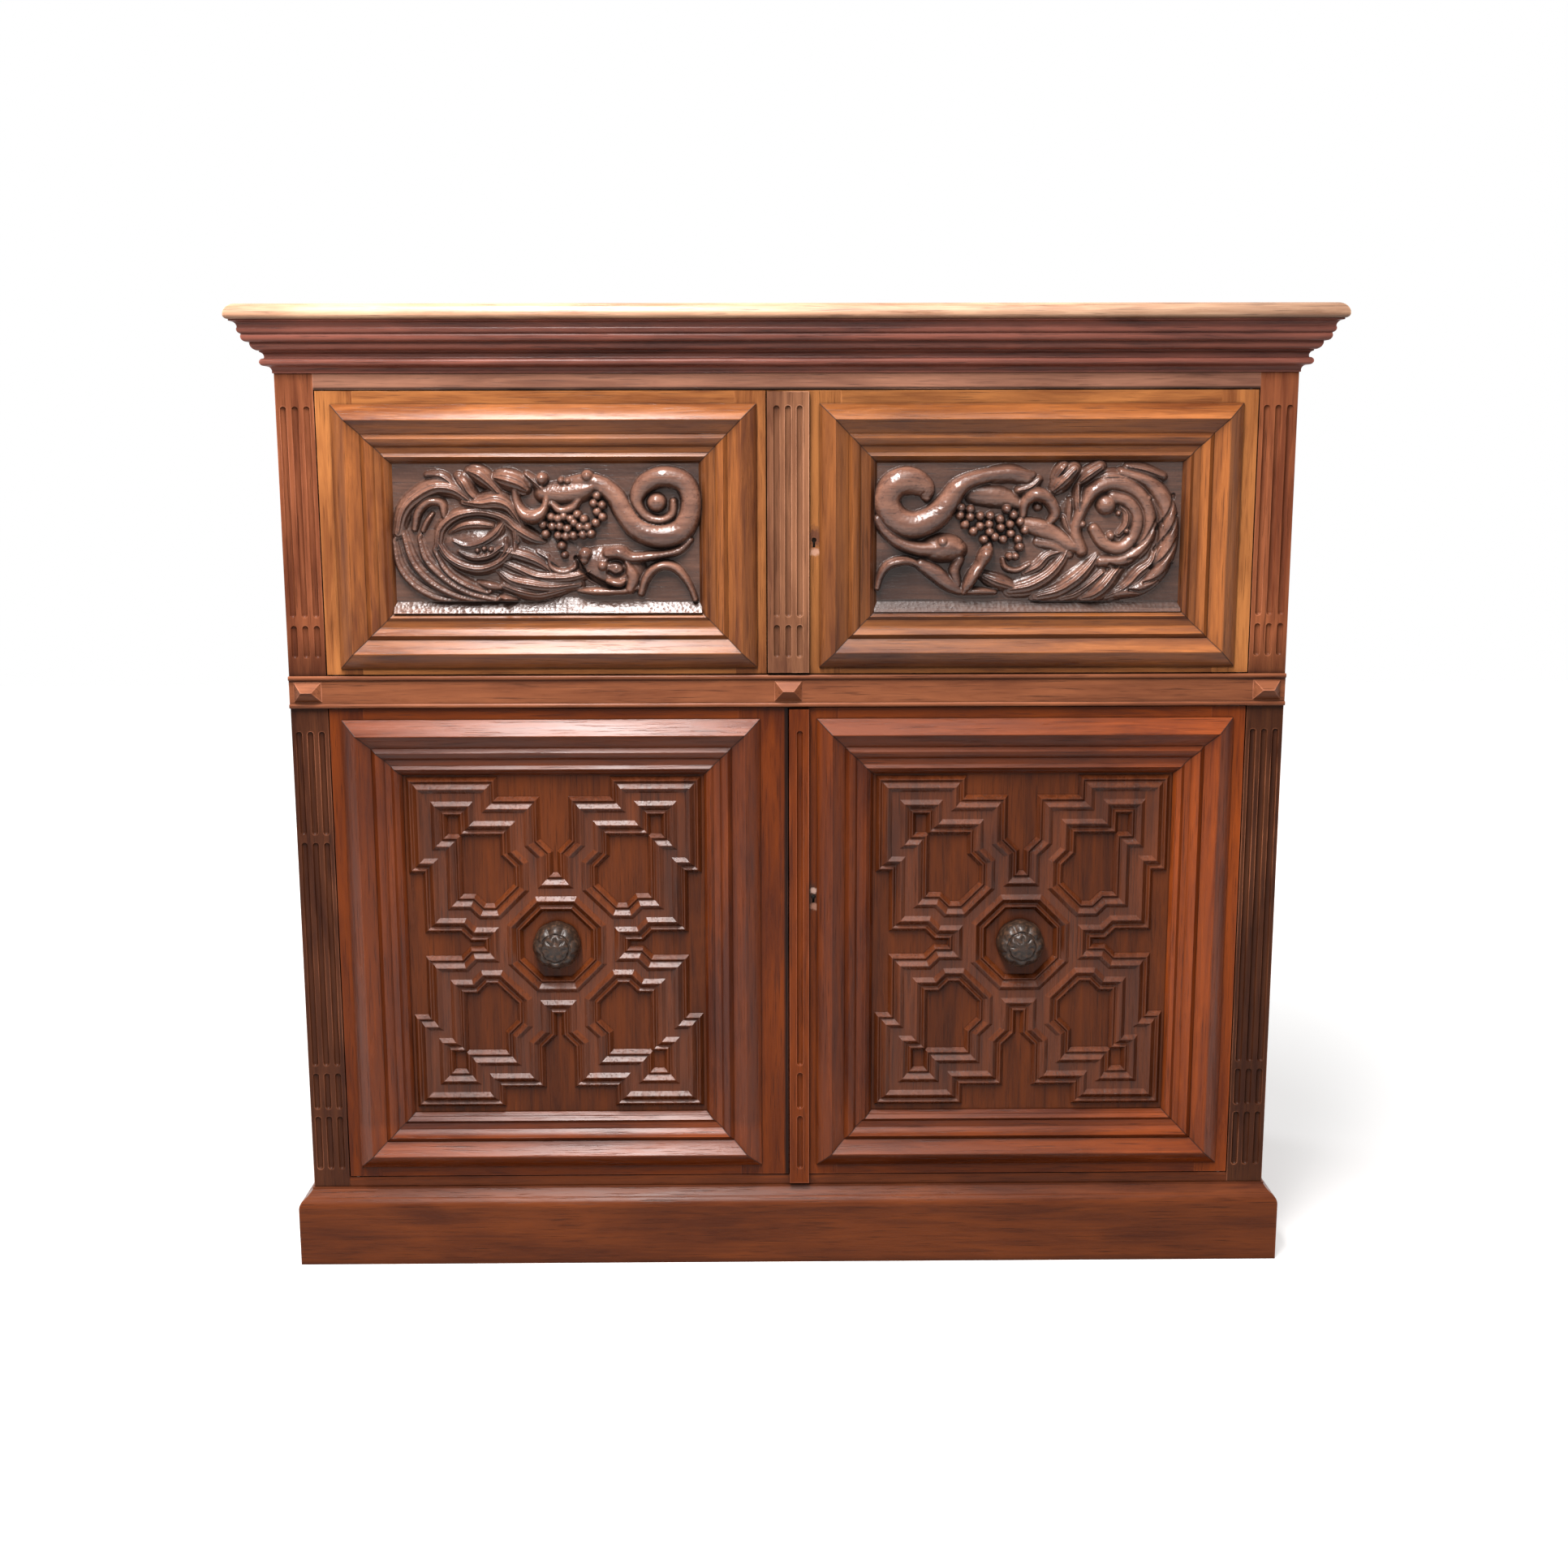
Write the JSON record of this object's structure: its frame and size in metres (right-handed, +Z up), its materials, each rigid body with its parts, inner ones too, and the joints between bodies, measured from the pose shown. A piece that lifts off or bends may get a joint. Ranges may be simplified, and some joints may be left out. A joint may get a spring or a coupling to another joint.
{
  "type": "side cupboard",
  "caption": "Side cupboard with paired panelled doors in two tiers: carved upper panels, mitred fretwork with bosses below, under a moulded cornice and nosed top.",
  "frame": {"origin": "middle of the footprint, on the floor, at the centre of the overall width and depth", "axes": "+X to the right as seen from the front, +Y from the front to the back, +Z up; the doors face -Y"},
  "size_m": [1.298, 0.5, 1.187],
  "materials": {
    "oak_warm": "waxed",
    "oak_dark": "waxed",
    "oak_panel": "waxed",
    "oak_top": "worn wax",
    "oak_plain": "dry",
    "ebonised": "polished",
    "iron": "dark"
  },
  "bodies": {
    "carcase": {"back_boards": "oak_plain", "back_post_left": "oak_plain", "back_post_right": "oak_plain", "back_rails": "oak_plain", "bearers": "oak_plain", "bottom_board": "oak_plain", "bottom_rail": "oak_dark", "cornice_front": "oak_warm", "cornice_returns": "oak_warm", "diamond_blocks": "iron", "door_pivots": "iron", "frieze_rail": "oak_warm", "front_post_left": "oak_dark", "front_post_right": "oak_dark", "mid_band": "oak_dark", "mid_board": "oak_plain", "mid_rail": "oak_dark", "plinth_front": "oak_dark", "plinth_returns": "oak_dark", "shelf": "oak_plain", "side_panels_left": "oak_dark", "side_panels_right": "oak_dark", "side_rails_left": "oak_dark", "side_rails_right": "oak_dark", "top_board": "oak_top"},
    "lower_left_leaf": {"lower_left_boss": "ebonised", "lower_left_fret": "oak_panel", "lower_left_moulding": "oak_warm", "lower_left_panel": "oak_panel", "lower_left_pivot_sockets": "iron", "lower_left_rails": "oak_warm", "lower_left_shoot_plate": "iron", "lower_left_stiles": "oak_warm"},
    "lower_right_leaf": {"lower_right_boss": "ebonised", "lower_right_centre_strip": "oak_warm", "lower_right_fret": "oak_panel", "lower_right_lock_case": "iron", "lower_right_moulding": "oak_warm", "lower_right_panel": "oak_panel", "lower_right_pivot_sockets": "iron", "lower_right_rails": "oak_warm", "lower_right_stiles": "oak_warm"},
    "upper_left_leaf": {"upper_left_moulding": "oak_warm", "upper_left_panel": "oak_panel", "upper_left_pivot_sockets": "iron", "upper_left_rails": "oak_warm", "upper_left_shoot_plate": "iron", "upper_left_stiles": "oak_warm"},
    "upper_right_leaf": {"upper_right_centre_strip": "oak_warm", "upper_right_lock_case": "iron", "upper_right_moulding": "oak_warm", "upper_right_panel": "oak_panel", "upper_right_pivot_sockets": "iron", "upper_right_rails": "oak_warm", "upper_right_stiles": "oak_warm"},
    "lower_left_bolt": {"lower_left_shoot_bolt": "iron"},
    "lower_right_key_bolt": {"lower_right_lock_bolt": "iron"},
    "upper_left_bolt": {"upper_left_shoot_bolt": "iron"},
    "upper_right_key_bolt": {"upper_right_lock_bolt": "iron"}
  },
  "joints": [
    {"name": "lower_left_hinge", "type": "hinge", "parent": "carcase", "child": "lower_left_leaf", "pos_m": [-0.5495, -0.2012, 0.41175], "axis": [0, 0, -1], "range_deg": [0, 100]},
    {"name": "lower_right_hinge", "type": "hinge", "parent": "carcase", "child": "lower_right_leaf", "pos_m": [0.5495, -0.2012, 0.41175], "axis": [0, 0, 1], "range_deg": [0, 100]},
    {"name": "upper_left_hinge", "type": "hinge", "parent": "carcase", "child": "upper_left_leaf", "pos_m": [-0.5495, -0.2012, 0.9215], "axis": [0, 0, -1], "range_deg": [0, 100]},
    {"name": "upper_right_hinge", "type": "hinge", "parent": "carcase", "child": "upper_right_leaf", "pos_m": [0.5495, -0.2012, 0.9215], "axis": [0, 0, 1], "range_deg": [0, 100]},
    {"name": "lower_left_bolt_slide", "type": "slide", "parent": "lower_left_leaf", "child": "lower_left_bolt", "axis": [0, 0, -1], "range_m": [0, 0.01]},
    {"name": "lower_right_key_bolt_slide", "type": "slide", "parent": "lower_right_leaf", "child": "lower_right_key_bolt", "axis": [-1, 0, 0], "range_m": [0, 0.008]},
    {"name": "upper_left_bolt_slide", "type": "slide", "parent": "upper_left_leaf", "child": "upper_left_bolt", "axis": [0, 0, -1], "range_m": [0, 0.01]},
    {"name": "upper_right_key_bolt_slide", "type": "slide", "parent": "upper_right_leaf", "child": "upper_right_key_bolt", "axis": [-1, 0, 0], "range_m": [0, 0.008]}
  ]
}
